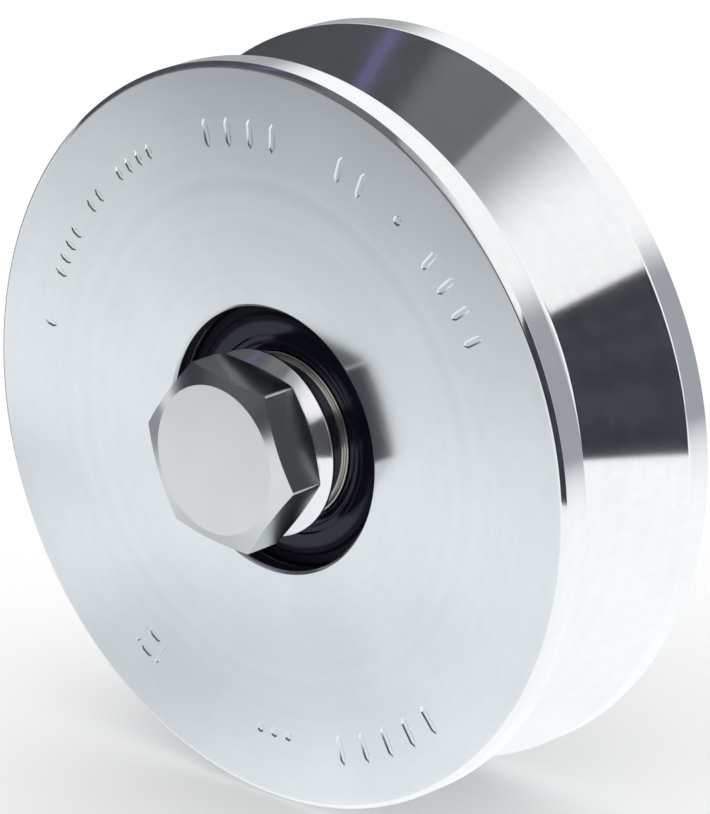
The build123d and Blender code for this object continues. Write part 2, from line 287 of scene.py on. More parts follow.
class Shader:
    """The nodes of one material or world, with short calls to add and join them."""

    def __init__(self, owner):
        owner.use_nodes = True
        self.owner = owner
        self.nodes = owner.node_tree.nodes
        self.links = owner.node_tree.links

    def add(self, kind, inputs=(), **settings):
        """A node with its settings and its inputs, each a value or another node's output."""
        node = self.nodes.new(kind)
        for key, value in settings.items():
            setattr(node, key, value)
        for key, value in dict(inputs).items():
            self.feed(node, key, value)
        return node

    def feed(self, node, key, value):
        """Joins an output to an input, or sets the input's value."""
        if isinstance(value, bpy.types.NodeSocket):
            self.links.new(value, node.inputs[key])
        else:
            node.inputs[key].default_value = value

    def finish(self, **inputs):
        """Sets the surface's own inputs, with underscores for spaces, and gives the material."""
        for key, value in inputs.items():
            self.feed(self.nodes["Principled BSDF"], key.replace("_", " "), value)
        return self.owner

    def overlay(self, share, closure):
        """Mixes another surface over the one already on the material."""
        output = self.nodes["Material Output"].inputs["Surface"]
        mix = self.add("ShaderNodeMixShader", {0: share, 1: output.links[0].from_socket, 2: closure})
        self.links.new(mix.outputs[0], output)

    def math(self, operation, first, second=0.0):
        """The result of one sum."""
        return self.add("ShaderNodeMath", {0: first, 1: second}, operation=operation).outputs[0]

    def plus(self, first, second):
        """Two values added."""
        return self.math("ADD", first, second)

    def times(self, first, second):
        """Two values multiplied, which for two shares is where they overlap."""
        return self.math("MULTIPLY", first, second)

    def split(self, vector):
        """The three parts of a vector."""
        return self.add("ShaderNodeSeparateXYZ", {0: vector}).outputs[:]

    def place(self):
        """The piece's own coordinates, which turn with it, as one vector."""
        return self.add("ShaderNodeTexCoord").outputs["Object"]

    def polar(self):
        """The radius about the axle and the place along it, in metres."""
        x, y, z = self.split(self.place())
        return self.math("SQRT", self.plus(self.times(x, x), self.times(z, z))), y

    def noise(self, scale, detail=2.0, vector=None):
        """Even, unlit mottling from 0 to 1."""
        inputs = {"Vector": self.place() if vector is None else vector, "Scale": scale, "Detail": detail}
        return self.add("ShaderNodeTexNoise", inputs).outputs["Fac"]

    def rings(self, scale, detail=3.0):
        """Fine turning marks: noise that changes only across the tool's path."""
        radius, along = self.polar()
        inputs = {"W": self.plus(self.times(radius, RING_SPREAD), along), "Scale": scale, "Detail": detail}
        return self.add("ShaderNodeTexNoise", inputs, noise_dimensions="1D").outputs["Fac"]

    def spread(self, value, low, high):
        """Maps 0..1 to low..high."""
        inputs = {"Value": value, "To Min": low, "To Max": high}
        return self.add("ShaderNodeMapRange", inputs).outputs["Result"]

    def band(self, value, start, end):
        """Rises smoothly from 0 to 1 between two values."""
        inputs = {"Value": value, "From Min": start, "From Max": end}
        return self.add("ShaderNodeMapRange", inputs, interpolation_type="SMOOTHSTEP").outputs["Result"]

    def ramp(self, value, start, end):
        """Rises evenly from 0 to 1 between two values."""
        inputs = {"Value": value, "From Min": start, "From Max": end}
        return self.add("ShaderNodeMapRange", inputs).outputs["Result"]

    def between(self, value, left, right):
        """1 between two soft edges, each given as where it starts and where it is complete."""
        return self.times(self.band(value, *left), self.band(value, *right))

    def blend(self, share, first, second):
        """Mixes two colours."""
        node = self.add("ShaderNodeMix", data_type="RGBA")
        for socket, value in ((0, share), (6, first), (7, second)):
            self.feed(node, socket, value)
        return node.outputs[2]

    def bump(self, height, strength, distance):
        """A normal tilted by a height, with the distance in metres."""
        inputs = {"Height": height, "Strength": strength, "Distance": distance}
        return self.add("ShaderNodeBump", inputs).outputs["Normal"]

    def round_the_axle(self):
        """The direction round the axle, along which turning marks lie."""
        return self.add("ShaderNodeTangent", direction_type="RADIAL", axis="Y").outputs["Tangent"]


# ---- materials ----

# A finish's darker and lighter tone.
FACE_TONES = ((0.78, 0.81, 0.83, 1), (0.82, 0.85, 0.87, 1))
GROOVE_TONES = ((0.87, 0.88, 0.89, 1), (0.91, 0.92, 0.93, 1))
SPACER_TONES = ((0.84, 0.85, 0.87, 1), (0.92, 0.93, 0.94, 1))
RING_TONES = ((0.48, 0.46, 0.43, 1), (0.58, 0.56, 0.53, 1))
BOLT_TONES = ((0.62, 0.63, 0.635, 1), (0.64, 0.65, 0.655, 1))
SPRING_TONES = ((0.50, 0.50, 0.51, 1), (0.62, 0.62, 0.62, 1))
BALL_TONES = ((0.76, 0.76, 0.78, 1), (0.82, 0.82, 0.84, 1))
CAGE_TONES = ((0.52, 0.50, 0.46, 1), (0.64, 0.62, 0.57, 1))
RUBBER_TONES = ((0.002, 0.002, 0.005, 1), (0.004, 0.004, 0.010, 1))
RUBBER_SHEEN = (0.72, 0.74, 1.0, 1)
# How deep fine marks and coarser grain go, in metres.
FINE_MARKS = 0.00002
COARSE_GRAIN = 0.00003
# A quarter turn, so that light spreads across marks that run round the axle.
ACROSS_MARKS = 0.25
# How much of a turned finish's tone is broad rings, the rest being soft clouds.
BROAD_RINGS = 0.25
# The radii in metres between which a seal's glossy face gives way to its duller bead.
SEAL_BEAD = (0.0119, 0.0124)
SEAL_BEAD_DULLNESS = 0.25
# How draw marks are stretched along the bolt.
DRAWN_OUT = (1.0, 0.12, 1.0)


def turned_steel(name, tones, roughness, marks, haze, patchiness=0.05):
    """Zinc-plated steel with turning marks round the axle.

    The marks throw a wide, slightly patchy haze of light across them, over the plate's own reflection.
    """
    shader = Shader(bpy.data.materials.new(name))
    fine = shader.rings(scale=9000.0)
    broad = shader.rings(scale=420.0, detail=2.0)
    cloud = shader.noise(scale=90.0)
    tone = shader.plus(shader.times(broad, BROAD_RINGS), shader.times(cloud, 1 - BROAD_RINGS))
    colour = shader.blend(shader.band(tone, start=0.3, end=0.7), *tones)
    grain = shader.plus(shader.times(fine, 0.5), shader.times(cloud, 0.5))
    normal = shader.bump(fine, strength=marks, distance=FINE_MARKS)
    tangent = shader.round_the_axle()
    plate = shader.finish(
        Base_Color=colour,
        Metallic=1.0,
        Roughness=shader.spread(grain, *roughness),
        Anisotropic=0.5,
        Anisotropic_Rotation=ACROSS_MARKS,
        Tangent=tangent,
        Normal=normal,
    )
    wide = {
        "Color": colour,
        "Roughness": 0.5,
        "Anisotropy": 0.7,
        "Rotation": ACROSS_MARKS,
        "Normal": normal,
        "Tangent": tangent,
    }
    patches = shader.band(shader.noise(scale=800.0, detail=3.0), start=0.35, end=0.65)
    share = shader.spread(patches, low=haze * (1 - patchiness), high=haze * (1 + patchiness))
    shader.overlay(share, shader.add("ShaderNodeBsdfAnisotropic", wide).outputs[0])
    return plate


def face_steel():
    """The wheel's flat faces, satin and a little blue."""
    return turned_steel("wheel_face_steel", FACE_TONES, roughness=(0.12, 0.17), marks=0.07, haze=0.17)


def groove_steel():
    """The rim and the groove, turned finer and brighter than the faces."""
    finish = {"roughness": (0.07, 0.12), "marks": 0.05, "haze": 0.08, "patchiness": 0.2}
    return turned_steel("wheel_groove_steel", GROOVE_TONES, **finish)


def spacer_steel():
    """The bright turned spacers."""
    return turned_steel("spacer_steel", SPACER_TONES, roughness=(0.10, 0.18), marks=0.08, haze=0.15)


def ground_steel():
    """The ground and polished bearing rings."""
    return turned_steel("bearing_ring_steel", RING_TONES, roughness=(0.14, 0.22), marks=0.08, haze=0.2)


def bolt_steel():
    """The bolt's and nut's zinc plate: soft clouds, and faint marks along the forged flats."""
    shader = Shader(bpy.data.materials.new("bolt_steel"))
    cloud = shader.noise(scale=160.0, detail=3.0)
    stretched = shader.add("ShaderNodeMapping", {"Vector": shader.place(), "Scale": DRAWN_OUT})
    draw_marks = shader.noise(scale=2600.0, detail=3.0, vector=stretched.outputs["Vector"])
    return shader.finish(
        Base_Color=shader.blend(shader.band(cloud, start=0.35, end=0.65), *BOLT_TONES),
        Metallic=1.0,
        Roughness=shader.spread(cloud, low=0.17, high=0.21),
        Normal=shader.bump(draw_marks, strength=0.06, distance=FINE_MARKS),
    )


def spring_steel():
    """The lock washer's duller plate."""
    shader = Shader(bpy.data.materials.new("spring_steel"))
    cloud = shader.noise(scale=220.0, detail=4.0)
    return shader.finish(
        Base_Color=shader.blend(shader.band(cloud, start=0.35, end=0.65), *SPRING_TONES),
        Metallic=1.0,
        Roughness=shader.spread(cloud, low=0.30, high=0.42),
        Normal=shader.bump(shader.noise(scale=3000.0), strength=0.2, distance=COARSE_GRAIN),
    )


def ball_steel():
    """Mirror-polished balls with the faintest haze."""
    shader = Shader(bpy.data.materials.new("ball_steel"))
    haze = shader.noise(scale=400.0, detail=3.0)
    return shader.finish(
        Base_Color=shader.blend(haze, *BALL_TONES),
        Metallic=1.0,
        Roughness=shader.spread(haze, low=0.03, high=0.07),
    )


def cage_steel():
    """Pressed sheet steel, slightly warm, with an even matt grain."""
    shader = Shader(bpy.data.materials.new("cage_steel"))
    grain = shader.noise(scale=1800.0, detail=4.0)
    cloud = shader.noise(scale=260.0)
    return shader.finish(
        Base_Color=shader.blend(cloud, *CAGE_TONES),
        Metallic=1.0,
        Roughness=shader.spread(grain, low=0.28, high=0.42),
        Normal=shader.bump(grain, strength=0.15, distance=COARSE_GRAIN),
    )


def seal_rubber():
    """Moulded nitrile rubber: blue-black with faint mould rings, glossy on its face, duller on its bead."""
    shader = Shader(bpy.data.materials.new("seal_rubber"))
    mould = shader.rings(scale=3000.0, detail=2.0)
    grain = shader.noise(scale=1500.0, detail=3.0)
    radius = shader.polar()[0]
    bead = shader.band(radius, *SEAL_BEAD)
    gloss = shader.spread(grain, low=0.12, high=0.18)
    return shader.finish(
        Base_Color=shader.blend(grain, *RUBBER_TONES),
        Roughness=shader.plus(gloss, shader.times(bead, SEAL_BEAD_DULLNESS)),
        Specular_IOR_Level=shader.spread(bead, low=0.38, high=0.1),
        Specular_Tint=RUBBER_SHEEN,
        Normal=shader.bump(mould, strength=0.03, distance=FINE_MARKS),
    )


# ---- the wheel ----

LAND_WIDTH = 3.4
LAND_ROUNDING = 0.35
GROOVE_DEPTH = 7.8
GROOVE_ROOT_ROUNDING = 0.6
RIM_CHAMFER = 0.5
RIM_ROUNDING = 0.06
RIM_FRONT_ROUNDING = 0.45
TURNED_LINES = (23.5, 27.9)
TURNED_LINE_DEPTH = 0.02
TURNED_LINE_WIDTH = 0.3
FRONT_LIP = 14.2
FRONT_LIP_CHAMFER = 0.3
FRONT_LIP_ROUNDING = 0.08
STAKING_GROOVE = 17.9
STAKING_GROOVE_HALF_WIDTH = 0.9
STAKING_GROOVE_DEPTH = 0.8
STAKING_ROUNDINGS = (0.15, 0.35, 0.25)
STAKED_LIP = 15.2
STAKED_LIP_DEPTH = 0.3
STAKED_LIP_ROUNDING = 0.2


def turned_lines():
    """Corners of the shallow lines turned into the front face."""
    half_line = TURNED_LINE_WIDTH / 2
    corners = []
    for radius in TURNED_LINES:
        corners += [
            (radius - half_line, FRONT, 0),
            (radius, FRONT + TURNED_LINE_DEPTH, 0),
            (radius + half_line, FRONT, 0),
        ]
    return corners


def wheel_outline():
    """The wheel's section: face, lands, groove, staked rear lip, bearing bore and front lip."""
    root = RIM - GROOVE_DEPTH
    near_root = FRONT + LAND_WIDTH + GROOVE_DEPTH
    far_root = REAR - LAND_WIDTH - GROOVE_DEPTH
    lip_face = REAR - STAKED_LIP_DEPTH
    outer, bottom, inner = STAKING_ROUNDINGS
    corners = [
        (FRONT_LIP, FRONT + FRONT_LIP_CHAMFER, FRONT_LIP_ROUNDING),
        (FRONT_LIP + FRONT_LIP_CHAMFER, FRONT, FRONT_LIP_ROUNDING),
        *turned_lines(),
        (RIM - RIM_CHAMFER, FRONT, RIM_FRONT_ROUNDING),
        (RIM, FRONT + RIM_CHAMFER, RIM_ROUNDING),
        (RIM, FRONT + LAND_WIDTH, LAND_ROUNDING),
        (root, near_root, GROOVE_ROOT_ROUNDING),
        (root, far_root, GROOVE_ROOT_ROUNDING),
        (RIM, REAR - LAND_WIDTH, LAND_ROUNDING),
        (RIM, REAR - RIM_CHAMFER, RIM_ROUNDING),
        (RIM - RIM_CHAMFER, REAR, RIM_ROUNDING),
        (STAKING_GROOVE + STAKING_GROOVE_HALF_WIDTH, REAR, outer),
        (STAKING_GROOVE, REAR - STAKING_GROOVE_DEPTH, bottom),
        (STAKING_GROOVE - STAKING_GROOVE_HALF_WIDTH, lip_face, inner),
        (STAKED_LIP, lip_face, STAKED_LIP_ROUNDING),
        (STAKED_LIP, BEARINGS_END, 0),
        (RING_OUTSIDE, BEARINGS_END, 0),
        (RING_OUTSIDE, BEARING_START, 0),
        (FRONT_LIP, BEARING_START, 0),
    ]
    return rounded(corners)


# ---- the wheel's stamped marks ----

STAMP_DEPTH = 0.09
STAMP_CLEAR = 0.04
STAMP_SLOPE = 0.3
STAMP_RADIUS = 32.6
# Rows of plain marks: the first one's angle, the step to the next, and how many there are.
SHORT_TICKS = ((122.0, 3.2, 4), (139.0, 3.2, 2), (149.5, 3.2, 4), (170.0, 3.2, 1))
TALL_TICKS = ((106.0, -5.5, 4), (73.0, -5.5, 2), (48.0, -5.5, 4))
LOW_TICKS = ((-73.0, 6.0, 5),)
LOW_TICK_OFFSET = 0.9
DOTS = ((57.5, 3.5, 1), (-93.0, 3.5, 3))
# An open square of four strokes, two along the wheel's radius and two across it.
SQUARE_UPRIGHTS = ((-125.8, 5.6, 2),)
SQUARE_MIDDLE = ((-123.0, 0.0, 1),)
SQUARE_HALF = 1.2


def stamp(mesh, outline, angle, radius):
    """Adds one punch with sloping sides at a place on the front face.

    The outline is a list of (across, out, lean across, lean out): a corner's place about the stamp's middle,
    in millimetres round the face and outwards, and the way its side slopes out.
    """
    along, outward = at(1, 0, angle - 90), at(1, 0, angle)
    loops = []
    for slope, y in ((STAMP_SLOPE, FRONT - STAMP_CLEAR), (0.0, FRONT + STAMP_DEPTH)):
        loop = []
        for across, out, lean_across, lean_out in outline:
            place = outward * (radius + out + slope * lean_out) + along * (across + slope * lean_across)
            loop.append(mesh.verts.new(place + Vector((0, y, 0))))
        loops.append(loop)
    mesh.faces.new(loops[0])
    mesh.faces.new(reversed(loops[1]))
    skin(mesh, [[low, high] for low, high in zip(*loops)] + [[loops[0][0], loops[1][0]]], closed=False)


def stamp_rows(mesh, outline, rows, outwards=0.0):
    """Stamps one outline along each row, moved outwards from the marks' usual circle."""
    for first, step, count in rows:
        for index in range(count):
            stamp(mesh, outline, first + step * index, STAMP_RADIUS + outwards)


def tick(width, height):
    """The outline of a straight stamped tick with pointed ends."""
    half, straight = width / 2, height / 2 - width
    side = [(half, -straight, 1, 0), (half, straight, 1, 0), (0, height / 2, 0, 1)]
    return side + [(-across, -out, -lean_across, -lean_out) for across, out, lean_across, lean_out in side]


def crosswise(outline):
    """An outline laid across the wheel's radius instead of along it."""
    return [(out, across, lean_out, lean_across) for across, out, lean_across, lean_out in reversed(outline)]


def dot(size, sides=16):
    """The outline of a round stamped dot."""
    turns = [math.tau * side / sides for side in range(sides)]
    return [(size / 2 * math.cos(t), size / 2 * math.sin(t), math.cos(t), math.sin(t)) for t in turns]


def stamped_marks():
    """A bmesh of every plain stamped mark: rows of ticks and dots, with no lettering."""
    mesh = bmesh.new()
    stamp_rows(mesh, tick(width=0.3, height=1.4), SHORT_TICKS)
    stamp_rows(mesh, tick(width=0.4, height=2.8), TALL_TICKS)
    stamp_rows(mesh, dot(size=0.7), DOTS)
    stamp_rows(mesh, tick(width=0.4, height=3.0), LOW_TICKS, outwards=LOW_TICK_OFFSET)
    stamp_rows(mesh, tick(width=0.2, height=2.4), SQUARE_UPRIGHTS)
    for outwards in (-SQUARE_HALF, SQUARE_HALF):
        stamp_rows(mesh, crosswise(tick(width=0.2, height=1.3)), SQUARE_MIDDLE, outwards)
    bmesh.ops.recalc_face_normals(mesh, faces=mesh.faces)
    return mesh


def pressed(mesh, punches):
    """A bmesh with the punches' shapes cut out of it."""
    items = []
    for each in (mesh, punches):
        data = bpy.data.meshes.new("pressing")
        each.to_mesh(data)
        each.free()
        item = bpy.data.objects.new("pressing", data)
        bpy.context.scene.collection.objects.link(item)
        items.append(item)
    blank, tool = items
    cut = blank.modifiers.new("cut", "BOOLEAN")
    cut.object = tool
    result = bmesh.new()
    result.from_object(blank, bpy.context.evaluated_depsgraph_get())
    for item in items:
        bpy.data.objects.remove(item)
    return result


# The finer finish starts this far inside the groove's bottom.
GROOVE_MARGIN = 0.5
# A face whose direction lies this much along the axle belongs to one of the flat sides.
FLAT_SIDE = 0.9


def brighten_groove(wheel, material):
    """Gives every face between the wheel's two flat sides the finer finish."""
    wheel.data.materials.append(material)
    for face in wheel.data.polygons:
        middle = face.center / MM
        outside = math.hypot(middle.x, middle.z) > RIM - GROOVE_DEPTH - GROOVE_MARGIN
        if outside and abs(face.normal.y) < FLAT_SIDE:
            face.material_index = 1


def wheel_body():
    """The turned wheel, with its stamped marks."""
    mesh = pressed(swept(steady(wheel_outline()), whole_turn(ROUND_STEPS)), stamped_marks())
    wheel = finished("v_groove_wheel", mesh, "wheel", face_steel(), "wheel_body")
    brighten_groove(wheel, groove_steel())


# ---- the axle ----

HEAD_TURN = -8.0
SHANK = 5.98
THREAD_LENGTH = 30.0
THREAD_RUN_OUT_SLOPE = 0.45
BOLT_END_RADIUS = THREAD_ROOT - 0.3
NUT_TURN = 13.0
NUT_THREAD_GAP = 0.05
NUT_BORE = THREAD_ROOT + 0.15
NUT_MOUTH = THREAD_CREST + 0.45
SPACER_BORE = 6.05
SPACER_HUB = 8.5
SPACER_HUB_LENGTH = 2.9
SPACER_ROUNDING = 0.1
FLANGE_CHAMFER = 1.2
FLANGE_ROUNDING = 0.15
WASHER_BORE = 6.1
WASHER_ROUNDING = 0.25
WASHER_GAP = 4.6
WASHER_SLANT = 20.0
WASHER_STEPS = 140


def bolt_radius(angle, y):
    """The bolt's thread, running out onto the shank at one end and chamfered at the other."""
    start = BOLT_END - THREAD_LENGTH
    run_out = SHANK - (y - start) * THREAD_RUN_OUT_SLOPE
    end_chamfer = BOLT_END_RADIUS + BOLT_END - y
    return min(max(thread_radius(angle, y), run_out), end_chamfer)


def axle_bolt(steel):
    """The hex bolt: chamfered head, plain shank and a real helical thread."""
    thread_start = BOLT_END - THREAD_LENGTH
    rows = steady([(0, HEAD_FACE)])
    rows += hex_end(HEAD_TURN, HEAD_FACE, 1)
    rows += reversed(hex_end(HEAD_TURN, FRONT_SPACER_START, -1))
    rows += steady([(SHANK, FRONT_SPACER_START), (SHANK, thread_start)])
    rows += thread_rows(thread_start, BOLT_END, bolt_radius)
    rows += steady([(BOLT_END_RADIUS, BOLT_END), (0, BOLT_END)])
    mesh = swept(rows, hex_angles(HEAD_TURN), closed=False)
    finished("hex_bolt", mesh, "axle", steel, "axle_bolt")


def nut_radius(angle, y):
    """The nut's own thread, opened out at both mouths."""
    mouth = NUT_MOUTH - min(y - NUT_START, NUT_END - y)
    return max(thread_radius(angle, y, NUT_THREAD_GAP), NUT_BORE, mouth)


def clamp_nut(steel):
    """The thin nut, chamfered at both ends and threaded inside."""
    rows = thread_rows(NUT_START, NUT_END, nut_radius)
    rows += hex_end(NUT_TURN, NUT_END, -1)
    rows += reversed(hex_end(NUT_TURN, NUT_START, 1))
    mesh = swept(rows, hex_angles(NUT_TURN))
    finished("thin_nut", mesh, "axle", steel, "clamp_nut")


def spacer(name, replaced, bearing_face, end, steel):
    """A flanged spacer, its flange's outer edge broken by a bright chamfer."""
    side = 1 if end > bearing_face else -1
    hub_end = bearing_face + side * SPACER_HUB_LENGTH
    corners = [
        (SPACER_BORE, bearing_face, SPACER_ROUNDING),
        (SPACER_HUB, bearing_face, SPACER_ROUNDING),
        (SPACER_HUB, hub_end, SPACER_ROUNDING),
        (FLANGE, hub_end, SPACER_ROUNDING),
        (FLANGE, end - side * FLANGE_CHAMFER, FLANGE_ROUNDING),
        (FLANGE - FLANGE_CHAMFER, end, FLANGE_ROUNDING),
        (SPACER_BORE, end, SPACER_ROUNDING),
    ]
    turned(name, rounded(corners), "axle", steel, replaced)


def lock_washer(steel):
    """The split spring washer, its gap at the top and cut on a slant."""
    middle = (LOCK_START + LOCK_END) / 2
    corners = [
        (WASHER_BORE, LOCK_START, WASHER_ROUNDING),
        (LOCK_OUTSIDE, LOCK_START, WASHER_ROUNDING),
        (LOCK_OUTSIDE, LOCK_END, WASHER_ROUNDING),
        (WASHER_BORE, LOCK_END, WASHER_ROUNDING),
    ]
    outline = rounded(corners)
    mesh = bmesh.new()
    columns = []
    for step in range(WASHER_STEPS + 1):
        turn = 90 + WASHER_GAP / 2 + (360 - WASHER_GAP) * step / WASHER_STEPS
        column = []
        for radius, y in outline:
            lean = math.degrees(math.tan(math.radians(WASHER_SLANT)) * (y - middle) / radius)
            column.append(mesh.verts.new(at(radius, y, turn + lean)))
        columns.append(column)
    skin(mesh, columns, closed=True)
    mesh.faces.new(columns[0])
    mesh.faces.new(reversed(columns[-1]))
    finished("split_washer", clean(mesh), "axle", steel, "lock_washer")


# ---- the bearings ----

RING_ROUNDING = 0.1
BEARING_BORE = 6.0
BEARING_BORE_ROUNDING = 0.3
BALL_PATH = 11.0
BALL_TRACK_ROUNDING = 3.1
BALL_TRACK_DEPTH = 2.9865
BALL_TRACK_STEPS = 24
OUTER_SHOULDER = 12.85
OUTER_SHOULDER_ROUNDING = 0.15
OUTSIDE_ROUNDING = 0.6
SEAL_SEAT = 14.2
SEAL_SEAT_WIDTH = 1.2
SEAL_LAND_DROP = 0.2
SEAL_LAND_WIDTH = 1.0
SEAL_LAND_ROUNDING = 0.25
# A seal's heights, counted inwards from its flat face.
SEAL_LIP_TOP = -0.1
SEAL_GROOVE_BOTTOM = 0.12
SEAL_STEP_BOTTOM = 0.3
SEAL_WEB_BACK = 0.35
SEAL_BEAD_SHOULDER = 0.5
SEAL_BEAD_BACK = 0.65
# Its places across, counted out from the lip's inside, and then in from the seal's outside.
SEAL_LIP_OVERLAP = 0.15
SEAL_LIP_LEAN = 0.05
SEAL_LIP_END = 0.8
SEAL_GROOVE = (1.0, 1.5)
SEAL_FACE_START = 1.7
SEAL_FACE_END = 1.4
SEAL_STEP = (1.1, 0.2)
SEAL_BEAD_WIDTH = 0.9
# How its corners are rounded.
SEAL_EDGE_ROUNDING = 0.05
SEAL_LIP_ROUNDING = 0.2
SEAL_GROOVE_ROUNDING = 0.1
SEAL_FACE_ROUNDING = 0.15
SEAL_STEP_ROUNDINGS = (0.12, 0.1)


def outer_ring(prefix, start, end, steel):
    """A bearing's outer ring: seal seats, shoulders and the ball track."""
    middle = (start + end) / 2
    centre = BALL_PATH + BALL_TRACK_DEPTH - BALL_TRACK_ROUNDING
    half = math.degrees(math.acos((OUTER_SHOULDER - centre) / BALL_TRACK_ROUNDING))
    seat_end = start + SEAL_SEAT_WIDTH
    side = [
        (SEAL_SEAT, start, RING_ROUNDING),
        (SEAL_SEAT, seat_end, RING_ROUNDING),
        (OUTER_SHOULDER, seat_end, OUTER_SHOULDER_ROUNDING),
    ]
    outside = [(RING_OUTSIDE, end, OUTSIDE_ROUNDING), (RING_OUTSIDE, start, OUTSIDE_ROUNDING)]
    outline = rounded(side + [(OUTER_SHOULDER, middle, 0)] + mirrored(side, middle)[::-1] + outside)
    track = arc(centre, middle, BALL_TRACK_ROUNDING, -half, half, BALL_TRACK_STEPS)
    outline = replace_point(outline, (OUTER_SHOULDER, middle), track)
    turned(f"{prefix}_outer_race", outline, "wheel", steel, f"{prefix}_outer_ring")


def inner_ring(prefix, start, end, steel):
    """A bearing's inner ring: bore, seal lands, shoulders and the ball track."""
    middle = (start + end) / 2
    centre = BALL_PATH - BALL_TRACK_DEPTH + BALL_TRACK_ROUNDING
    half = math.degrees(math.acos((centre - INNER_SHOULDER) / BALL_TRACK_ROUNDING))
    land = INNER_SHOULDER - SEAL_LAND_DROP
    land_end = start + SEAL_LAND_WIDTH
    side = [
        (BEARING_BORE, start, BEARING_BORE_ROUNDING),
        (land, start, SEAL_LAND_ROUNDING),
        (land, land_end, 0),
        (INNER_SHOULDER, land_end, RING_ROUNDING),
    ]
    outline = rounded(side + [(INNER_SHOULDER, middle, 0)] + mirrored(side, middle)[::-1])
    track = arc(centre, middle, BALL_TRACK_ROUNDING, 180 + half, 180 - half, BALL_TRACK_STEPS)
    outline = replace_point(outline, (INNER_SHOULDER, middle), track)
    turned(f"{prefix}_inner_race", outline, "axle", steel, f"{prefix}_inner_ring")


def seal(node, facing, rubber):
    """A moulded seal: outer bead, recessed step, flat face with a mould groove, and a raised lip.

    facing is +1 for a seal whose outer side looks towards +Y, and -1 for the other.
    """
    low, high = extent(node)[1:]
    face = (high if facing > 0 else low) + facing * SEAL_LIP_TOP

    def depth(inwards):
        return face - facing * inwards

    lip = INNER_SHOULDER - SEAL_LIP_OVERLAP
    corners = [
        (lip, depth(SEAL_WEB_BACK), SEAL_EDGE_ROUNDING),
        (lip + SEAL_LIP_LEAN, depth(SEAL_LIP_TOP), SEAL_LIP_ROUNDING),
        (lip + SEAL_LIP_END, depth(SEAL_LIP_TOP), SEAL_LIP_ROUNDING),
        (lip + SEAL_GROOVE[0], depth(SEAL_GROOVE_BOTTOM), SEAL_GROOVE_ROUNDING),
        (lip + SEAL_GROOVE[1], depth(SEAL_GROOVE_BOTTOM), SEAL_GROOVE_ROUNDING),
        (lip + SEAL_FACE_START, face, SEAL_GROOVE_ROUNDING),
        (SEAL_OUTSIDE - SEAL_FACE_END, face, SEAL_FACE_ROUNDING),
        (SEAL_OUTSIDE - SEAL_STEP[0], depth(SEAL_STEP_BOTTOM), SEAL_STEP_ROUNDINGS[0]),
        (SEAL_OUTSIDE - SEAL_STEP[1], depth(SEAL_STEP_BOTTOM), SEAL_STEP_ROUNDINGS[1]),
        (SEAL_OUTSIDE, depth(SEAL_BEAD_SHOULDER), SEAL_EDGE_ROUNDING),
        (SEAL_OUTSIDE, depth(SEAL_BEAD_BACK), 0),
        (SEAL_OUTSIDE - SEAL_BEAD_WIDTH, depth(SEAL_BEAD_BACK), 0),
        (SEAL_OUTSIDE - SEAL_BEAD_WIDTH, depth(SEAL_WEB_BACK), 0),
    ]
    turned(node.replace("_seal", "_rubber_seal"), rounded(corners), "wheel", rubber, node)


def bearings():
    """Both bearings: turned rings and seals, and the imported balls, cages, rivets and seal inserts."""
    ring_steel, rubber = ground_steel(), seal_rubber()
    finishes = {"balls": ball_steel(), "cage": cage_steel(), "seal_insert": cage_steel()}
    places = {
        "front_bearing": (BEARING_START, BEARING_MIDDLE),
        "rear_bearing": (BEARING_MIDDLE, BEARINGS_END),
    }
    for prefix, (start, end) in places.items():
        outer_ring(prefix, start, end, ring_steel)
        inner_ring(prefix, start, end, ring_steel)
        for side, facing in (("front", -1), ("rear", 1)):
            seal(f"{prefix}_{side}_seal", facing, rubber)
    for name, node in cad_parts.items():
        for part, material in finishes.items():
            if part in name and not node.hide_render:
                node.data.materials.clear()
                node.data.materials.append(material)
                keep_flats_flat(node)


# ---- camera ----

CAMERA_AZIMUTH = 42.4
CAMERA_ELEVATION = 19.2
CAMERA_DISTANCE = 640.5
CAMERA_LENS = 273.3
# Nothing nearer than this is drawn, in metres.
CAMERA_NEAREST = 0.01
# How far from the picture's middle the centre of the wheel's front face lies.
FACE_CENTRE_LEFT = 8.7
FACE_CENTRE_BELOW = 3.4


def camera():
    """A long lens to the wheel's right and a little above, its front face left of the middle."""
    azimuth, elevation = math.radians(CAMERA_AZIMUTH), math.radians(CAMERA_ELEVATION)
    right = Vector((math.cos(azimuth), math.sin(azimuth), 0))
    ahead = Vector((-right.y * math.cos(elevation), right.x * math.cos(elevation), -math.sin(elevation)))
    up = right.cross(ahead)
    aim = Vector((0, FRONT, 0)) + right * FACE_CENTRE_LEFT + up * FACE_CENTRE_BELOW
    place = aim - ahead * CAMERA_DISTANCE
    data = bpy.data.cameras.new("camera")
    data.lens = CAMERA_LENS
    data.clip_start = CAMERA_NEAREST
    item = bpy.data.objects.new("camera", data)
    turn = Matrix((right, up, -ahead)).transposed().to_4x4()
    item.matrix_world = Matrix.Translation(place * MM) @ turn
    bpy.context.scene.collection.objects.link(item)
    bpy.context.scene.camera = item


# ---- studio ----

# What the eye sees: a plain pale floor in a white room.
ROOM_LIGHT = (1.18, 1.18, 1.18, 1)
FLOOR_COLOUR = (0.9, 0.9, 0.9, 1)
# The floor's width, in metres.
FLOOR_SIZE = 8

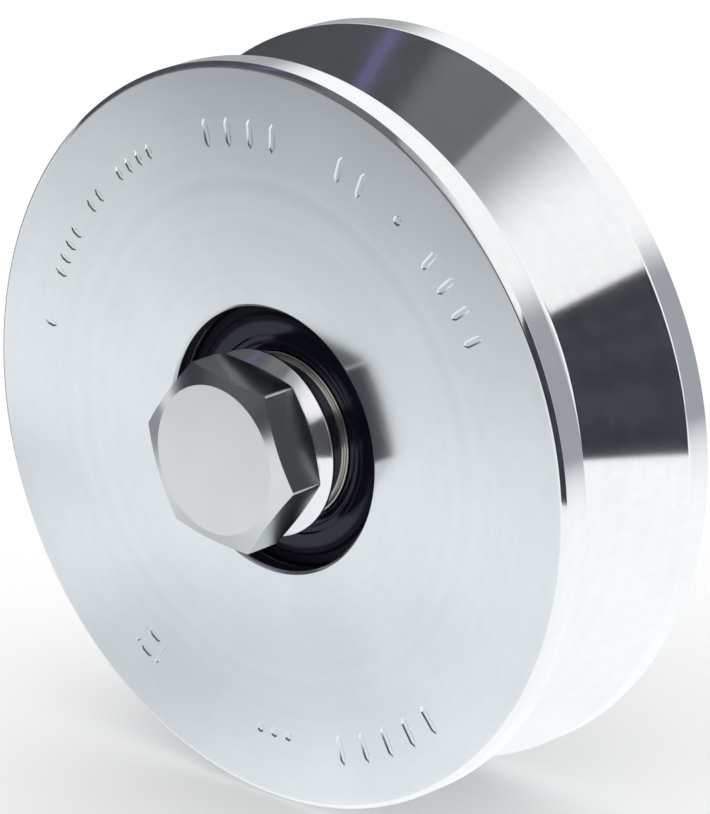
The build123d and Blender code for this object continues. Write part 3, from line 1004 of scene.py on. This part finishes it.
# What only the metal's reflections see.
WHITE = (1.06, 1.06, 1.06, 1)
BLACK = (0.009, 0.011, 0.018, 1)
SOOT = (0.030, 0.036, 0.052, 1)
SLATE = (0.040, 0.045, 0.052, 1)
LEAD = (0.125, 0.13, 0.135, 1)
VIOLET = (0.12, 0.11, 0.27, 1)
SILVER = (0.36, 0.38, 0.39, 1)
PEWTER = (0.35, 0.37, 0.40, 1)
FLOOR_NEAR = (1.07, 1.10, 1.12, 1)
FLOOR_FAR = (0.14, 0.155, 0.17, 1)
# Painted shade at the wheel's foot, seen only in the floor's reflection.
FLOOR_PAINTED_SHADE = (0.76, 0.79, 0.81, 1)

# Soft edges on the floor's painted reflection, in metres: where each starts, and where it is complete. A
# slant turns its edge a little, and the painted shade is a round patch at the wheel's foot.
FADE_AHEAD = (0.075, 0.205)
FADE_SLANT = 0.25
FADE_RIGHT_EDGE = (0.03, -0.01)
FADE_RIGHT_SLANT = -0.4
BACK_STRIP = (0.06, 0.30)
LEFT_STRIP = (-0.06, -0.13)
LEFT_STRIP_FRONT = (-0.085, -0.055)
SHADE_MIDDLE = (-0.035, -0.030, 0.0)
SHADE_REACH = (0.060, 0.0)

# The dark flag, in millimetres from the spot on the wheel that mirrors it, and in degrees.
FLAG_SPOT = (33, 5, 0)
FLAG_AZIMUTH = 45.5
FLAG_AWAY = 175
FLAG_ASIDE = 15.3
FLAG_ABOVE = 20.1
FLAG_TURN = -45
FLAG_SIZE = (167, 170)

# Soft edges round the room, in degrees of azimuth and elevation, counted as the camera's are.
HORIZON = (-1, 1)
PANEL_LEFT, PANEL_RIGHT = (-118, -112), (-9, -10.5)
PANEL_LIGHTER_END = (-44, -28)
PANEL_MOTTLE = 26.0
SEAM_LEFT, SEAM_RIGHT = (-70.2, -69.5), (-65.8, -66.5)
CEILING_LEFT = (-40, -12)
CEILING_FADE = (0, 30)
BACK_WALL_LEFT, BACK_WALL_RIGHT = (116, 126), (162, 152)
BACK_WALL_TOP = (32, 22)
LEFT_WALL_RIGHT = (-118, -124)
LEFT_WALL_TOP = (26, 12)
SCREEN_LEFT, SCREEN_RIGHT = (-14, -9), (44, 32)
SCREEN_TOP = (28, 14)


def toward(azimuth, elevation):
    """The direction from the wheel at an azimuth, counted as the camera's is, and an elevation."""
    a, e = math.radians(azimuth), math.radians(elevation)
    return Vector((math.sin(a) * math.cos(e), -math.cos(a) * math.cos(e), math.sin(e)))


def seen_in_metal(shader):
    """1 for what the metal's reflections see, 0 for everything else."""
    return shader.add("ShaderNodeLightPath").outputs["Is Glossy Ray"]


def floor_tone(shader):
    """The floor's painted reflection: painted shade at the wheel's foot, dark far ahead, grey behind and at
    the left.
    """
    x, y, _ = shader.split(shader.place())
    ahead = shader.math("SUBTRACT", shader.times(x, FADE_SLANT), y)
    beside = shader.plus(x, shader.times(y, FADE_RIGHT_SLANT))
    far = shader.times(shader.ramp(ahead, *FADE_AHEAD), shader.band(beside, *FADE_RIGHT_EDGE))
    left = shader.times(shader.band(x, *LEFT_STRIP), shader.band(y, *LEFT_STRIP_FRONT))
    grey = shader.math("MAXIMUM", shader.band(y, *BACK_STRIP), left)
    ends = {0: shader.place(), 1: SHADE_MIDDLE}
    from_shade = shader.add("ShaderNodeVectorMath", ends, operation="DISTANCE").outputs["Value"]
    # Painted shade in a round patch at the wheel's foot.
    painted_shade = shader.band(from_shade, *SHADE_REACH)
    tone = shader.blend(painted_shade, shader.blend(far, FLOOR_NEAR, FLOOR_FAR), FLOOR_PAINTED_SHADE)
    return shader.blend(grey, tone, PEWTER)


def floor():
    """A plain pale floor that the wheel stands on, which in reflections glows with a painted tone and
    painted shade.
    """
    bpy.ops.mesh.primitive_plane_add(size=FLOOR_SIZE, location=(0, 0, FLOOR_HEIGHT * MM))
    plane = bpy.context.object
    plane.name = "floor"
    shader = Shader(bpy.data.materials.new("floor"))
    plane.data.materials.append(shader.finish(Base_Color=FLOOR_COLOUR, Roughness=0.9))
    # In reflections the floor glows with this painted tone, painted shade included, instead of its lit
    # colour.
    glow = shader.add("ShaderNodeEmission", {"Color": floor_tone(shader)})
    shader.overlay(seen_in_metal(shader), glow.outputs[0])


def flag():
    """A dark, faintly clouded board at the right in front, turned cornerwise, that only reflections see."""
    bpy.ops.mesh.primitive_plane_add(size=1)
    board = bpy.context.object
    board.name = "dark_flag"
    outward, up = toward(FLAG_AZIMUTH, 0), Vector((0, 0, 1))
    side = up.cross(outward)
    middle = Vector(FLAG_SPOT) + outward * FLAG_AWAY + side * FLAG_ASIDE + up * FLAG_ABOVE
    turn = Matrix((side, up, outward)).transposed() @ Matrix.Rotation(math.radians(FLAG_TURN), 3, "Z")
    size = Matrix.Diagonal((FLAG_SIZE[0] * MM, FLAG_SIZE[1] * MM, 1, 1))
    board.matrix_world = Matrix.Translation(middle * MM) @ turn.to_4x4() @ size
    shader = Shader(bpy.data.materials.new("dark_flag"))
    cloud = shader.band(shader.noise(scale=5.0, detail=4.0), start=0.35, end=0.7)
    glow = shader.add("ShaderNodeEmission", {"Color": shader.blend(cloud, BLACK, SOOT)})
    shader.links.new(glow.outputs[0], shader.nodes["Material Output"].inputs[0])
    board.data.materials.append(shader.owner)
    board.visible_camera = board.visible_diffuse = board.visible_shadow = False


def panel_tone(shader, azimuth, direction):
    """The dark ceiling panel: mottled lighter towards its right end, with a violet seam."""
    mottle = shader.times(shader.noise(scale=14.0, detail=4.0, vector=direction), PANEL_MOTTLE)
    lighter = shader.band(shader.plus(azimuth, mottle), *PANEL_LIGHTER_END)
    seam = shader.between(azimuth, SEAM_LEFT, SEAM_RIGHT)
    return shader.blend(seam, shader.blend(lighter, SLATE, LEAD), VIOLET)


def room_tone(shader):
    """The room in reflections: white, a panel at the left, a grey fade in front, and darker low parts."""
    direction = shader.add("ShaderNodeTexCoord").outputs["Generated"]
    x, y, z = shader.split(direction)
    azimuth = shader.math("DEGREES", shader.math("ARCTAN2", x, shader.times(y, -1.0)))
    elevation = shader.math("DEGREES", shader.math("ARCSINE", z))
    above_floor = shader.band(elevation, *HORIZON)
    ceiling = shader.times(shader.band(azimuth, *CEILING_LEFT), above_floor)
    panel = shader.times(shader.between(azimuth, PANEL_LEFT, PANEL_RIGHT), above_floor)
    back_wall = shader.times(
        shader.between(azimuth, BACK_WALL_LEFT, BACK_WALL_RIGHT),
        shader.band(elevation, *BACK_WALL_TOP),
    )
    left_wall = shader.times(shader.band(azimuth, *LEFT_WALL_RIGHT), shader.band(elevation, *LEFT_WALL_TOP))
    screen = shader.times(
        shader.between(azimuth, SCREEN_LEFT, SCREEN_RIGHT),
        shader.band(elevation, *SCREEN_TOP),
    )
    fade = shader.blend(shader.band(azimuth, *CEILING_FADE), SILVER, WHITE)
    tone = shader.blend(ceiling, WHITE, fade)
    tone = shader.blend(panel, tone, panel_tone(shader, azimuth, direction))
    tone = shader.blend(back_wall, tone, PEWTER)
    tone = shader.blend(left_wall, tone, SILVER)
    return shader.blend(screen, tone, SLATE)


def room():
    """A white room that lights everything evenly."""
    world = bpy.data.worlds.new("studio")
    bpy.context.scene.world = world
    shader = Shader(world)
    shade = shader.blend(seen_in_metal(shader), ROOM_LIGHT, room_tone(shader))
    shader.feed(shader.nodes["Background"], "Color", shade)


def studio():
    """Floor, flag, room and camera."""
    floor()
    flag()
    room()
    camera()
    bpy.context.scene.view_settings.view_transform = "Standard"


# ---- the whole object ----


def build():
    """Every piece, then the studio round it."""
    bolt, bright = bolt_steel(), spacer_steel()
    wheel_body()
    axle_bolt(bolt)
    clamp_nut(bolt)
    spacer("front_flanged_spacer", "front_spacer", FRONT_SPACER_END, FRONT_SPACER_START, bright)
    spacer("rear_flanged_spacer", "rear_spacer", REAR_SPACER_START, REAR_SPACER_END, bright)
    lock_washer(spring_steel())
    bearings()
    studio()


build()
